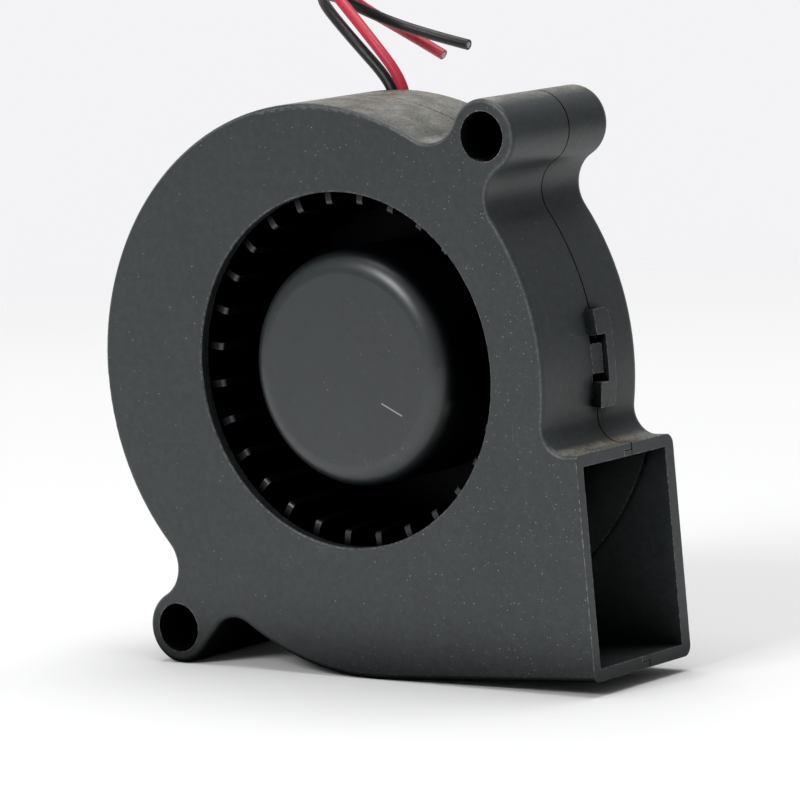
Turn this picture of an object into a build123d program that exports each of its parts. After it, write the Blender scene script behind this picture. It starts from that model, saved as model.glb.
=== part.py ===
"""Small centrifugal blower, 15 mm thick, standing on its lower ear and the curve of its scroll.

Units are millimetres. Z is up and the floor is at Z = 0. The outlet faces +X and the inlet
faces -Y. The housing's own outline is drawn from the rotor axis, with x towards the outlet
and y up along the outlet face, and depths are measured from the inlet face backwards.
"""

import os
from math import acos, atan2, cos, pi, radians, sin, sqrt

from build123d import *

os.makedirs("parts", exist_ok=True)

# Housing outline, measured from the rotor axis
scroll_radius = 23.9
scroll_back = 2.8
scroll_drop = 0.35
belly_growth = 1.3
belly_forward = 1.5
belly_drop = 2.2
outlet_drop = 7.76
outlet_lip = 0.98
tongue_radius = 2.3
ear_radius = 3.25
upper_ear_reach = 4.39
upper_ear_angle = 45.53
lower_ear_reach = 5.12
lower_ear_angle = 230.96
neck_radius = 3.0
belly_neck_radius = 2.5
belly_neck_run = 6.28
mount_hole_radius = 2.2

# Housing shells
housing_depth = 15.0
wall = 1.1
front_plate = 1.0
rear_plate = 1.3
rear_shell_depth = 6.5
front_edge_radius = 0.5
rear_edge_radius = 1.0
inlet_overlap = 3.3
inlet_chamfer = 0.1
lip_length = 1.1
lip_clearance = 0.1
seam_gap = 0.12
plateau_margin = 4.85
plateau_height = 0.35
recess_radius = 9.0
recess_depth = 0.3

# Latches across the seam, by their middle angle about the scroll centre
latch_angles = (0.0, 128.0, 208.0)
latch_half_angle = 10.0
latch_window_half_angle = 4.8
latch_catch_half_angle = 3.1
latch_proud = 0.9
latch_reach = 0.8
latch_foot = 1.5
latch_bar = 1.1
latch_root = 0.4
latch_corner_radius = 0.6
catch_proud = 0.4
catch_clearance = 0.1
catch_root = 0.8

# Impeller
cutoff_gap = 1.0
hub_radius = 10.5
hub_face = 0.3
hub_roof = 1.2
hub_wall = 1.1
hub_edge_radius = 2.0
disc_clearance = 0.75
disc_thickness = 0.8
blade_count = 28
blade_thickness = 0.6
blade_clearance = 0.55
blade_width_front = 4.5
blade_width_rear = 5.4
blade_corner_radius = 0.4
first_blade_angle = 81.2

# Rotor
yoke_thickness = 0.6
yoke_setback = 0.3
magnet_thickness = 1.4
magnet_setback = 0.2
winding_clearance = 0.8
shaft_radius = 1.0
shaft_grip = 0.6
shaft_end_play = 0.05
boss_radius = 2.4
boss_height = 1.1
retainer_radius = 1.6
retainer_thickness = 0.3
retainer_setback = 0.55
retainer_groove = 0.2

# Bearing
tube_radius = 2.6
tube_seat = 0.3
tube_clearance = 0.2
bearing_radius = 2.0
bearing_clearance = 0.02
bearing_setback = 0.4
seal_setback = 0.2
seal_thickness = 0.5
seal_clearance = 0.15
thrust_pad_thickness = 0.5

# Stator
air_gap = 0.4
pole_count = 4
pole_width = 2.2
pole_shoe = 1.1
slot_opening = 1.4
pole_reach = 1.8
slot_floor_gap = 0.3
insulator_thickness = 0.5
flange_height = 0.9
coil_build = 0.95
coil_corner = 0.4
coil_gap = 0.05

# Driver board and its parts
board_margin = 0.6
board_thickness = 0.8
board_seat_radius = 4.0
board_seat_height = 0.2
board_bore_clearance = 0.1
board_clearance = 1.15
pin_radius = 0.3
pin_offset = 0.4
pin_angle = 22.0
chip_length = 2.8
chip_width = 2.9
chip_height = 1.0
chip_inset = 2.7
stub_reach = 0.6
stub_size = 0.35
stub_pitch = 1.9
sensor_length = 2.9
sensor_width = 1.4
sensor_height = 0.9
sensor_inset = 1.1
capacitor_length = 2.0
capacitor_width = 1.25
capacitor_height = 0.9
capacitor_inset = 2.4
capacitor_angles = (170.0, 190.0)
resistor_length = 1.6
resistor_width = 0.8
resistor_height = 0.45
resistor_inset = 2.3
resistor_angles = (-9.0, 9.0, 62.0)

# Leads
lead_diameter = 1.0
lead_pitch = 1.18
black_lead_back = 2.4
lead_sink = 0.15
lead_setback = 0.55
channel_clearance = 0.08
window_height = 3.6
window_margin = 0.1
window_side = 1.0
solder_setback = 1.0
solder_radius = 0.51
solder_tip_radius = 0.35

# Routes of the free leads: up and over from the channel's mouth, measured from it
black_route = (
    (-0.75, 0.1, 1.0),
    (-5.5, 0.3, 5.3),
    (-10.6, 2.9, 8.4),
    (-13.6, 8.4, 8.5),
    (-11.0, 13.3, 5.6),
    (-5.55, 14.4, 3.92),
    (-2.44, 14.4, 3.3),
)
red_route = (
    (0.5, -0.15, 1.4),
    (-2.8, -0.1, 5.1),
    (-9.8, 2.3, 10.4),
    (-15.6, 8.2, 11.2),
    (-15.5, 14.6, 7.2),
    (-9.79, 16.35, 3.75),
    (-6.69, 16.35, 2.19),
)

# Share of a lead's shorter run that a bend may use, and the play allowed in picking an edge
bend_share = 0.45
tolerance = 0.01

stand = (Align.CENTER, Align.CENTER, Align.MIN)
origin = Vector(0, 0)


def polar(centre, radius, angle):
    """The point at a radius and an angle in radians about a centre."""
    return centre + Vector(cos(angle), sin(angle)) * radius


# Derived places on the outline
scroll_centre = Vector(-scroll_back, -scroll_drop)
belly_centre = Vector(belly_forward, -belly_drop)
belly_radius = scroll_radius + belly_growth
upper_ear = polar(scroll_centre, scroll_radius + upper_ear_reach, radians(upper_ear_angle))
lower_ear = polar(scroll_centre, scroll_radius + lower_ear_reach, radians(lower_ear_angle))
tongue_rise = scroll_drop + tongue_radius - outlet_drop
tongue_run = sqrt((scroll_radius + tongue_radius) ** 2 - tongue_rise**2)
tongue_centre = scroll_centre + Vector(tongue_run, tongue_rise)
outlet_reach = tongue_centre.X + outlet_lip
impeller_radius = scroll_radius - wall - scroll_back - cutoff_gap
inlet_radius = impeller_radius - inlet_overlap
plateau_radius = impeller_radius + plateau_margin

# Derived depths behind the inlet face, the shells first
seam_depth = housing_depth - rear_shell_depth
parting = seam_depth + seam_gap
lip_front = seam_depth - lip_length
latch_front = seam_depth - latch_reach
latch_rear = seam_depth + latch_foot
bar_front = latch_rear - latch_bar
catch_rear = bar_front - catch_clearance
floor_depth = housing_depth - rear_plate
plateau_face = floor_depth - plateau_height
disc_rear = plateau_face - disc_clearance
disc_front = disc_rear - disc_thickness
roof_rear = hub_face + hub_roof
boss_rear = roof_rear + boss_height
tube_front = boss_rear + tube_clearance
tube_rear = floor_depth + tube_seat
seal_front = tube_front + seal_setback
bearing_front = seal_front + seal_thickness
shaft_front = roof_rear - shaft_grip
shaft_rear = tube_rear - thrust_pad_thickness - shaft_end_play
retainer_rear = shaft_rear - retainer_setback
retainer_front = retainer_rear - retainer_thickness
bearing_rear = retainer_front - bearing_setback
yoke_rear = disc_front - yoke_setback
magnet_front = roof_rear + yoke_thickness + winding_clearance
magnet_rear = yoke_rear - magnet_setback
board_rear = plateau_face - board_seat_height
board_front = board_rear - board_thickness
core_front = magnet_front + flange_height + insulator_thickness
core_rear = board_front - board_clearance - flange_height - insulator_thickness
lead_depth = housing_depth - lead_sink - lead_diameter / 2


def meeting(centre_a, radius_a, centre_b, radius_b, side):
    """The crossing of two circles that lies left (side 1) or right (side -1) of a towards b."""
    span = (centre_b - centre_a).length
    along = (radius_a**2 - radius_b**2 + span**2) / (2 * span)
    across = sqrt(radius_a**2 - along**2)
    forward = (centre_b - centre_a) / span
    return centre_a + forward * along + Vector(-forward.Y, forward.X) * across * side


def heading(start, end):
    """The angle in radians of the way from start to end."""
    return atan2(end.Y - start.Y, end.X - start.X)


def touch(centre, radius, neighbour):
    """Where a circle touches the neighbouring circle whose centre is given."""
    return centre + (neighbour - centre).normalized() * radius


def arc(centre, start, end, turn=1):
    """An arc from start to end, anticlockwise (turn 1) or clockwise (turn -1) about a centre."""
    first = heading(centre, start)
    sweep = ((heading(centre, end) - first) * turn) % (2 * pi) * turn
    ThreePointArc(start, polar(centre, (start - centre).length, first + sweep / 2), end)


def draw_scroll(inset=0.0, reach=outlet_reach, ears=False):
    """The housing's outline, moved inwards by inset, with its outlet drawn out to reach."""
    scroll = scroll_radius - inset
    belly = belly_radius - inset
    wall_foot = touch(scroll_centre, scroll, tongue_centre)
    outlet_root = tongue_centre - Vector(0, tongue_radius + inset)
    low_point = belly_centre - Vector(0, belly)

    Line(low_point, (reach, low_point.Y))
    Line((reach, low_point.Y), (reach, outlet_root.Y))
    Line((reach, outlet_root.Y), outlet_root)
    arc(tongue_centre, outlet_root, wall_foot, turn=-1)
    if not ears:
        crossing = meeting(scroll_centre, scroll, belly_centre, belly, -1)
        arc(scroll_centre, wall_foot, crossing)
        arc(belly_centre, crossing, low_point)
        return

    reach_scroll = scroll + neck_radius
    reach_ear = ear_radius + neck_radius
    right_neck = meeting(scroll_centre, reach_scroll, upper_ear, reach_ear, -1)
    left_neck = meeting(scroll_centre, reach_scroll, upper_ear, reach_ear, 1)
    back_neck = meeting(scroll_centre, reach_scroll, lower_ear, reach_ear, -1)
    under_run = lower_ear.X + belly_neck_run - belly_centre.X
    under_drop = sqrt((belly + belly_neck_radius) ** 2 - under_run**2)
    under_neck = belly_centre + Vector(under_run, -under_drop)
    under_lean = acos((ear_radius + belly_neck_radius) / (under_neck - lower_ear).length)
    under_way = heading(lower_ear, under_neck) - under_lean
    under_start = polar(lower_ear, ear_radius, under_way)
    under_end = polar(under_neck, -belly_neck_radius, under_way)
    arc(scroll_centre, wall_foot, touch(scroll_centre, scroll, right_neck))
    draw_neck(right_neck, scroll_centre, scroll, upper_ear, ear_radius)
    arc(upper_ear, touch(upper_ear, ear_radius, right_neck), touch(upper_ear, ear_radius, left_neck))
    draw_neck(left_neck, upper_ear, ear_radius, scroll_centre, scroll)
    arc(scroll_centre, touch(scroll_centre, scroll, left_neck), touch(scroll_centre, scroll, back_neck))
    draw_neck(back_neck, scroll_centre, scroll, lower_ear, ear_radius)
    arc(lower_ear, touch(lower_ear, ear_radius, back_neck), under_start)
    Line(under_start, under_end)
    arc(under_neck, under_end, touch(belly_centre, belly, under_neck), turn=-1)
    arc(belly_centre, touch(belly_centre, belly, under_neck), low_point)


def draw_neck(centre, before, before_radius, after, after_radius):
    """The hollow arc that joins one rounded outline to the next."""
    arc(centre, touch(before, before_radius, centre), touch(after, after_radius, centre), turn=-1)


# The floor touches the lower ear and the belly, which tips the housing as it stands
ear_to_belly = belly_centre - lower_ear
floor_way = heading(lower_ear, belly_centre) - acos((ear_radius - belly_radius) / ear_to_belly.length)
rest_tilt = -pi / 2 - floor_way
axis_height = polar(origin, 1, floor_way).dot(belly_centre) + belly_radius


def turned(point):
    """A point of the outline after the housing has tipped onto the floor."""
    return Vector(
        point.X * cos(rest_tilt) - point.Y * sin(rest_tilt),
        point.X * sin(rest_tilt) + point.Y * cos(rest_tilt),
    )


left_reach = turned(scroll_centre).X - scroll_radius
right_reach = turned(Vector(outlet_reach, belly_centre.Y - belly_radius)).X
axis_x = -(left_reach + right_reach) / 2

face = Plane(
    origin=(axis_x, -housing_depth / 2, axis_height),
    x_dir=(cos(rest_tilt), 0, sin(rest_tilt)),
    z_dir=(0, -1, 0),
)
section = Plane(origin=face.origin, x_dir=face.x_dir, z_dir=face.y_dir)
scroll_section = Plane(origin=face.from_local_coords(scroll_centre), x_dir=face.x_dir, z_dir=face.y_dir)
spin_axis = Axis(face.origin, (0, 1, 0))


def level(depth):
    """The plane at a depth behind the inlet face, looking out of the inlet."""
    return face.offset(-depth)


def save(piece, name):
    """Label a finished piece and write it to its own file."""
    piece.part.label = name
    export_step(piece.part, f"parts/{name}.step")


def is_outlet_edge(edge):
    """True for an edge that runs along the outlet's open face."""
    return abs(face.to_local_coords(edge).center().X - outlet_reach) < tolerance


def rim(piece, behind):
    """The edges round a shell's outermost face, apart from those on the outlet's face."""
    outer_face = piece.faces().sort_by(Axis.Y)[-1 if behind else 0]
    return [edge for edge in outer_face.outer_wire().edges() if not is_outlet_edge(edge)]


def draw_latch_band(half_angle, inner, outer, middle):
    """A curved strip on the scroll's wall, centred at an angle in degrees."""
    first = radians(middle - half_angle)
    last = radians(middle + half_angle)
    arc(scroll_centre, polar(scroll_centre, outer, first), polar(scroll_centre, outer, last))
    Line(polar(scroll_centre, outer, last), polar(scroll_centre, inner, last))
    arc(scroll_centre, polar(scroll_centre, inner, last), polar(scroll_centre, inner, first), turn=-1)
    Line(polar(scroll_centre, inner, first), polar(scroll_centre, outer, first))


def loop_corners(piece):
    """The outer corners of the latches' loops, at the back ends of their arms."""
    corners = []
    for edge in piece.edges().filter_by(GeomType.LINE):
        depth = -face.to_local_coords(edge).center().Z
        if abs(depth - latch_rear) < tolerance and abs(edge.length - latch_proud) < tolerance:
            corners.append(edge)
    return corners


latch_outer = scroll_radius + latch_proud

with BuildPart() as front_cover:
    with BuildSketch(face):
        with BuildLine():
            draw_scroll(ears=True)
        make_face()
    extrude(amount=-seam_depth)
    with BuildSketch(level(front_plate)):
        with BuildLine():
            draw_scroll(inset=wall, reach=outlet_reach + wall)
        make_face()
    extrude(amount=front_plate - seam_depth, mode=Mode.SUBTRACT)
    with BuildSketch(level(lip_front)):
        with BuildLine():
            draw_scroll(inset=wall / 2, reach=outlet_reach + wall)
        make_face()
    extrude(amount=-lip_length, mode=Mode.SUBTRACT)
    fillet(rim(front_cover, behind=False), front_edge_radius)
    with BuildSketch(face):
        Circle(inlet_radius)
        with Locations(upper_ear, lower_ear):
            Circle(mount_hole_radius)
    extrude(amount=-seam_depth, mode=Mode.SUBTRACT)
    inlet_edge = (
        front_cover.edges()
        .filter_by(GeomType.CIRCLE)
        .filter_by(lambda edge: abs(edge.radius - inlet_radius) < tolerance)
        .sort_by(Axis.Y)[0]
    )
    chamfer(inlet_edge, inlet_chamfer)
    for latch_angle in latch_angles:
        with BuildSketch(level(latch_front)):
            with BuildLine():
                draw_latch_band(latch_half_angle, scroll_radius, latch_outer, latch_angle)
            make_face()
        extrude(amount=latch_front - latch_rear)
        with BuildSketch(level(latch_front)):
            with BuildLine():
                draw_latch_band(latch_half_angle, scroll_radius - latch_root, latch_outer, latch_angle)
            make_face()
        extrude(amount=latch_front - seam_depth)
        with BuildSketch(level(latch_front)):
            with BuildLine():
                draw_latch_band(
                    latch_window_half_angle, scroll_radius - wall, latch_outer + wall, latch_angle
                )
            make_face()
        extrude(amount=latch_front - bar_front, mode=Mode.SUBTRACT)
    fillet(loop_corners(front_cover), latch_corner_radius)
save(front_cover, "front_cover")

# The channel that the leads lie in, and the window over their joints with the board
black_lead_x = -black_lead_back
red_lead_x = black_lead_x + lead_pitch
channel_middle = (black_lead_x + red_lead_x) / 2
channel_width = lead_pitch + lead_diameter + 2 * channel_clearance
channel_floor = lead_depth - lead_diameter / 2
channel_top = scroll_centre.Y + scroll_radius + wall
window_top = hub_radius - hub_wall - board_margin - window_margin
window_bottom = window_top - window_height
lead_start = window_bottom + solder_setback
lead_exit = scroll_centre.Y + scroll_radius - lead_setback

catch_half_width = scroll_radius * sin(radians(latch_catch_half_angle))

with BuildPart() as rear_housing:
    with BuildSketch(level(parting)):
        with BuildLine():
            draw_scroll(ears=True)
        make_face()
    extrude(amount=parting - housing_depth)
    fillet(rim(rear_housing, behind=True), rear_edge_radius)
    with BuildSketch(level(lip_front)):
        with BuildLine():
            draw_scroll(inset=wall / 2 + lip_clearance)
        make_face()
    extrude(amount=lip_front - parting)
    with BuildSketch(level(lip_front)):
        with BuildLine():
            draw_scroll(inset=wall, reach=outlet_reach + wall)
        make_face()
    extrude(amount=lip_front - floor_depth, mode=Mode.SUBTRACT)
    with BuildSketch(level(floor_depth)):
        with BuildLine():
            draw_scroll(inset=wall)
        make_face()
        Circle(plateau_radius, mode=Mode.INTERSECT)
    extrude(amount=plateau_height)
    with BuildSketch(level(plateau_face)):
        Circle(board_seat_radius)
    extrude(amount=plateau_face - board_rear)
    with BuildSketch(level(board_rear)):
        Circle(tube_radius)
    extrude(amount=board_rear - tube_rear, mode=Mode.SUBTRACT)
    with BuildSketch(level(parting)):
        with Locations(upper_ear, lower_ear):
            Circle(mount_hole_radius)
    extrude(amount=parting - housing_depth, mode=Mode.SUBTRACT)
    with BuildSketch(level(housing_depth - recess_depth)):
        Circle(recess_radius)
    extrude(amount=-recess_depth, mode=Mode.SUBTRACT)
    with BuildSketch(level(channel_floor)):
        with Locations((channel_middle, (window_bottom + channel_top) / 2)):
            Rectangle(channel_width, channel_top - window_bottom)
    extrude(amount=channel_floor - housing_depth, mode=Mode.SUBTRACT)
    with BuildSketch(level(plateau_face)):
        with Locations((channel_middle, (window_bottom + window_top) / 2)):
            Rectangle(channel_width + 2 * window_side, window_top - window_bottom)
    extrude(amount=plateau_face - housing_depth, mode=Mode.SUBTRACT)
    for latch_angle in latch_angles:
        with BuildSketch(scroll_section.rotated((0, -latch_angle, 0))):
            with BuildLine():
                Polyline(
                    (scroll_radius - catch_root, latch_front),
                    (scroll_radius, latch_front),
                    (scroll_radius + catch_proud, catch_rear),
                    (scroll_radius - catch_root, catch_rear),
                    close=True,
                )
            make_face()
        extrude(amount=catch_half_width, both=True)
save(rear_housing, "rear_housing")

# Impeller, moulded in one piece: hub cup, back disc and straight blades
hub_bore_radius = hub_radius - hub_wall
blade_front = front_plate + blade_clearance

with BuildPart() as impeller:
    with BuildSketch(section):
        with BuildLine():
            Polyline(
                (0, hub_face),
                (hub_radius, hub_face),
                (hub_radius, disc_front),
                (impeller_radius, disc_front),
                (impeller_radius, disc_rear),
                (hub_bore_radius, disc_rear),
                (hub_bore_radius, roof_rear),
                (shaft_radius, roof_rear),
                (shaft_radius, shaft_front),
                (0, shaft_front),
                close=True,
            )
        make_face()
    revolve(axis=spin_axis)
    hub_edge = (
        impeller.edges()
        .filter_by(GeomType.CIRCLE)
        .filter_by(lambda edge: abs(edge.radius - hub_radius) < tolerance)
        .sort_by(Axis.Y)[0]
    )
    fillet(hub_edge, hub_edge_radius)
    for blade in range(blade_count):
        blade_plane = section.rotated((0, -first_blade_angle - blade * 360 / blade_count, 0))
        with BuildSketch(blade_plane):
            with BuildLine():
                Polyline(
                    (impeller_radius - blade_width_front, blade_front),
                    (impeller_radius, blade_front),
                    (impeller_radius, disc_front),
                    (impeller_radius - blade_width_rear, disc_front),
                    close=True,
                )
            make_face()
            fillet(vertices().group_by(Axis.Y)[0].sort_by(Axis.X)[0], blade_corner_radius)
        extrude(amount=blade_thickness / 2, both=True)
save(impeller, "impeller")

# Rotor: steel yoke in the hub, magnet in the yoke, brass boss and shaft
yoke_bore_radius = hub_bore_radius - yoke_thickness
magnet_bore_radius = yoke_bore_radius - magnet_thickness

with BuildPart() as rotor_yoke:
    with BuildSketch(section):
        with BuildLine():
            Polyline(
                (boss_radius, roof_rear),
                (hub_bore_radius, roof_rear),
                (hub_bore_radius, yoke_rear),
                (yoke_bore_radius, yoke_rear),
                (yoke_bore_radius, roof_rear + yoke_thickness),
                (boss_radius, roof_rear + yoke_thickness),
                close=True,
            )
        make_face()
    revolve(axis=spin_axis)
save(rotor_yoke, "rotor_yoke")

with BuildPart(level(magnet_rear)) as rotor_magnet:
    Cylinder(yoke_bore_radius, magnet_rear - magnet_front, align=stand)
    Cylinder(magnet_bore_radius, magnet_rear - magnet_front, align=stand, mode=Mode.SUBTRACT)
save(rotor_magnet, "rotor_magnet")

with BuildPart(level(boss_rear)) as shaft_boss:
    Cylinder(boss_radius, boss_rear - roof_rear, align=stand)
    Cylinder(shaft_radius, boss_rear - roof_rear, align=stand, mode=Mode.SUBTRACT)
save(shaft_boss, "shaft_boss")

groove_radius = shaft_radius - retainer_groove

with BuildPart(level(shaft_rear)) as shaft:
    Cylinder(shaft_radius, shaft_rear - shaft_front, align=stand)
    with BuildSketch(level(retainer_rear)):
        Circle(shaft_radius)
        Circle(groove_radius, mode=Mode.SUBTRACT)
    extrude(amount=retainer_rear - retainer_front, mode=Mode.SUBTRACT)
    chamfer(shaft.edges().group_by(Axis.Y)[-1], retainer_groove)
save(shaft, "shaft")

with BuildPart(level(retainer_rear)) as shaft_retainer:
    Cylinder(retainer_radius, retainer_rear - retainer_front, align=stand)
    Cylinder(groove_radius, retainer_rear - retainer_front, align=stand, mode=Mode.SUBTRACT)
save(shaft_retainer, "shaft_retainer")

# Bearing: brass tube in the rear housing, oil-filled sleeve, oil seal and thrust pad
with BuildPart(level(tube_rear)) as bearing_tube:
    Cylinder(tube_radius, tube_rear - tube_front, align=stand)
    Cylinder(bearing_radius, tube_rear - tube_front, align=stand, mode=Mode.SUBTRACT)
save(bearing_tube, "bearing_tube")

with BuildPart(level(bearing_rear)) as sleeve_bearing:
    Cylinder(bearing_radius, bearing_rear - bearing_front, align=stand)
    Cylinder(
        shaft_radius + bearing_clearance, bearing_rear - bearing_front, align=stand, mode=Mode.SUBTRACT
    )
save(sleeve_bearing, "sleeve_bearing")

with BuildPart(level(bearing_front)) as oil_seal:
    Cylinder(bearing_radius, bearing_front - seal_front, align=stand)
    Cylinder(
        shaft_radius + seal_clearance, bearing_front - seal_front, align=stand, mode=Mode.SUBTRACT
    )
save(oil_seal, "oil_seal")

with BuildPart(level(tube_rear)) as thrust_pad:
    Cylinder(bearing_radius, thrust_pad_thickness, align=stand)
save(thrust_pad, "thrust_pad")

# Stator: laminated core on the tube, an insulator on each end and a coil on each pole
core_radius = magnet_bore_radius - air_gap
shoe_radius = core_radius - pole_shoe
coil_inner = shoe_radius - pole_reach
slot_floor_radius = coil_inner - slot_floor_gap


def draw_poles(outer_radius):
    """The stator's section: a hub on the bearing tube and four poles with wide shoes."""
    Circle(outer_radius)
    Circle(shoe_radius, mode=Mode.SUBTRACT)
    Circle(slot_floor_radius)
    with PolarLocations(0, pole_count // 2, angular_range=180):
        Rectangle(2 * (shoe_radius + pole_shoe / 2), pole_width)
    with PolarLocations((shoe_radius + outer_radius) / 2, pole_count, start_angle=180 / pole_count):
        Rectangle(2 * (outer_radius - shoe_radius), slot_opening, mode=Mode.SUBTRACT)
    Circle(tube_radius, mode=Mode.SUBTRACT)


with BuildPart() as stator_core:
    with BuildSketch(level(core_rear)):
        draw_poles(core_radius)
    extrude(amount=core_rear - core_front)
save(stator_core, "stator_core")

flange_radius = core_radius - air_gap

with BuildPart() as insulator_front:
    with BuildSketch(level(core_front)):
        draw_poles(flange_radius)
    extrude(amount=insulator_thickness)
    with BuildSketch(level(core_front - insulator_thickness)):
        draw_poles(flange_radius)
        Circle(shoe_radius, mode=Mode.SUBTRACT)
    extrude(amount=flange_height)
save(insulator_front, "insulator_front")

with BuildPart() as insulator_rear:
    with BuildSketch(level(core_rear)):
        draw_poles(flange_radius)
    extrude(amount=-insulator_thickness)
    with BuildSketch(level(core_rear + insulator_thickness)):
        draw_poles(flange_radius)
        Circle(shoe_radius, mode=Mode.SUBTRACT)
    extrude(amount=-flange_height)
save(insulator_rear, "insulator_rear")

coil_outer = sqrt(shoe_radius**2 - (pole_width / 2 + coil_build) ** 2) - coil_gap
former_height = core_rear - core_front + 2 * insulator_thickness
coil_middle = (core_front + core_rear) / 2
coil_length = coil_outer - coil_inner

with BuildPart() as stator_coils:
    for pole in range(pole_count):
        pole_plane = section.rotated((0, pole * 360 / pole_count, 0))
        winding = Plane(
            origin=pole_plane.from_local_coords((coil_inner, coil_middle, 0)),
            x_dir=pole_plane.z_dir,
            z_dir=pole_plane.x_dir,
        )
        with BuildSketch(winding):
            RectangleRounded(
                pole_width + 2 * coil_build, former_height + 2 * coil_build, coil_corner
            )
            Rectangle(pole_width, former_height, mode=Mode.SUBTRACT)
        extrude(amount=coil_length)
save(stator_coils, "stator_coils")

# Driver board behind the stator, its parts and the pins that the windings end on
board_radius = hub_bore_radius - board_margin
pin_pitch = shoe_radius + pin_offset
pin_front = core_rear + insulator_thickness + flange_height
chip_place = Vector(0, chip_inset - board_radius)

with BuildPart() as driver_board:
    with BuildSketch(level(board_rear)):
        Circle(board_radius)
        Circle(tube_radius + board_bore_clearance, mode=Mode.SUBTRACT)
        with PolarLocations(pin_pitch, pole_count, start_angle=pin_angle):
            Circle(pin_radius, mode=Mode.SUBTRACT)
    extrude(amount=board_thickness)
save(driver_board, "driver_board")

with BuildPart() as winding_pins:
    with BuildSketch(level(board_rear)):
        with PolarLocations(pin_pitch, pole_count, start_angle=pin_angle):
            Circle(pin_radius)
    extrude(amount=board_rear - pin_front)
save(winding_pins, "winding_pins")

with BuildPart(level(board_front)) as driver_chip:
    with Locations(chip_place):
        Box(chip_length, chip_width, chip_height, align=stand)
        with GridLocations(chip_length + stub_reach, stub_pitch, 2, 2):
            Box(stub_reach, stub_size, stub_size, align=stand)
save(driver_chip, "driver_chip")

with BuildPart(level(board_front)) as hall_sensor:
    with Locations((0, board_radius - sensor_inset)):
        Box(sensor_length, sensor_width, sensor_height, align=stand)
save(hall_sensor, "hall_sensor")

with BuildPart(level(board_front)) as capacitors:
    for angle in capacitor_angles:
        with Locations(polar(origin, board_radius - capacitor_inset, radians(angle))):
            Box(capacitor_length, capacitor_width, capacitor_height, align=stand)
save(capacitors, "capacitors")

with BuildPart(level(board_front)) as resistors:
    for angle in resistor_angles:
        with Locations(polar(origin, board_radius - resistor_inset, radians(angle))):
            Box(resistor_length, resistor_width, resistor_height, align=stand)
save(resistors, "resistors")

# Leads: a straight piece of each in the channel, soldered to the back of the board
solder_middle = (lead_start + window_top) / 2

with BuildPart(level(channel_floor)) as solder_joints:
    with Locations((black_lead_x, solder_middle), (red_lead_x, solder_middle)):
        Cone(solder_tip_radius, solder_radius, channel_floor - board_rear, align=stand)
save(solder_joints, "solder_joints")


def lead_run(lead_x, height):
    """The plane across a lead in its channel, at a height over the rotor axis."""
    middle = face.from_local_coords((lead_x, height, -lead_depth))
    return Plane(origin=middle, x_dir=face.x_dir, z_dir=face.y_dir)


with BuildPart(lead_run(black_lead_x, lead_start)) as black_lead_end:
    Cylinder(lead_diameter / 2, lead_exit - lead_start, align=stand)
save(black_lead_end, "black_lead_end")

with BuildPart(lead_run(red_lead_x, lead_start)) as red_lead_end:
    Cylinder(lead_diameter / 2, lead_exit - lead_start, align=stand)
save(red_lead_end, "red_lead_end")


def corner_radii(points):
    """The largest arcs that the runs of a lead allow, one for each of its corners."""
    radii = []
    for before, here, after in zip(points, points[1:], points[2:]):
        turn = radians((here - before).get_angle(after - here))
        shorter = min((here - before).length, (after - here).length)
        radii.append(bend_share * shorter / sin(turn / 2) * cos(turn / 2))
    return radii


def draw_lead(lead_x, route, name):
    """A lead from its place in the channel's mouth along its route, as runs joined by arcs."""
    mouth = face.from_local_coords((channel_middle, lead_exit, -lead_depth))
    start = lead_run(lead_x, lead_exit).origin
    points = [start, *[mouth + Vector(*point) for point in route]]
    radii = corner_radii(points)
    with BuildLine() as route_line:
        FilletPolyline(*points, radius=radii)
    path = route_line.wires()[0]
    with BuildSketch(Plane(origin=start, z_dir=points[1] - start)) as lead_section:
        Circle(lead_diameter / 2)
    sweep(sections=lead_section.sketch, path=path)
    print(name, "length", round(path.length, 1), "radii", [round(radius, 1) for radius in radii])


# Free leads: up from the channel, over in an arch and back, with plain cut ends
with BuildPart() as black_lead:
    draw_lead(black_lead_x, black_route, "black lead")
save(black_lead, "black_lead")

with BuildPart() as red_lead:
    draw_lead(red_lead_x, red_route, "red lead")
save(red_lead, "red_lead")
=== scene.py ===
"""Looks of a small centrifugal blower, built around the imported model.

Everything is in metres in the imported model's own frame: Z is up, the floor is at Z = 0, the
outlet faces +X and the inlet faces -Y. The housing leans a few degrees on the floor, so places
on it are given as x towards the outlet, y up the outlet's face and depth behind the inlet face,
all from the rotor axis, and are turned into the frame by Lean.place.
"""

import logging
import math
from dataclasses import dataclass, field
from enum import Enum

import bpy
import numpy as np
from mathutils import Matrix


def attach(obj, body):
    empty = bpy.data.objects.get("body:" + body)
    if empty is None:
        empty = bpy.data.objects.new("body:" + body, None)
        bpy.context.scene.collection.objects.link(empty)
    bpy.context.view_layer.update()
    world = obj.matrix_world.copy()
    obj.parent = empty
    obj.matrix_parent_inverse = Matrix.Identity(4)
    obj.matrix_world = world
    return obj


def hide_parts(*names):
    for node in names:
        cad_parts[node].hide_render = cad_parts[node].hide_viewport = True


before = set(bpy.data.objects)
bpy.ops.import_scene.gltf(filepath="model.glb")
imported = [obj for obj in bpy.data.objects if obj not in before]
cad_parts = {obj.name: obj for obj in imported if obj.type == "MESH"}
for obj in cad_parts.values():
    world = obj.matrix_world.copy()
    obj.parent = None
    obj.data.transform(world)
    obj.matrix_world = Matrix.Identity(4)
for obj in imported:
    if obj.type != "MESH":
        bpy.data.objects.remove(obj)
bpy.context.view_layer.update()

log = logging.getLogger("blower")

Socket = bpy.types.NodeSocket
Value = Socket | float
Vector = tuple[float, float, float]
Rgba = tuple[float, float, float, float]
Span = tuple[float, float]

MM = 0.001


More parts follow.
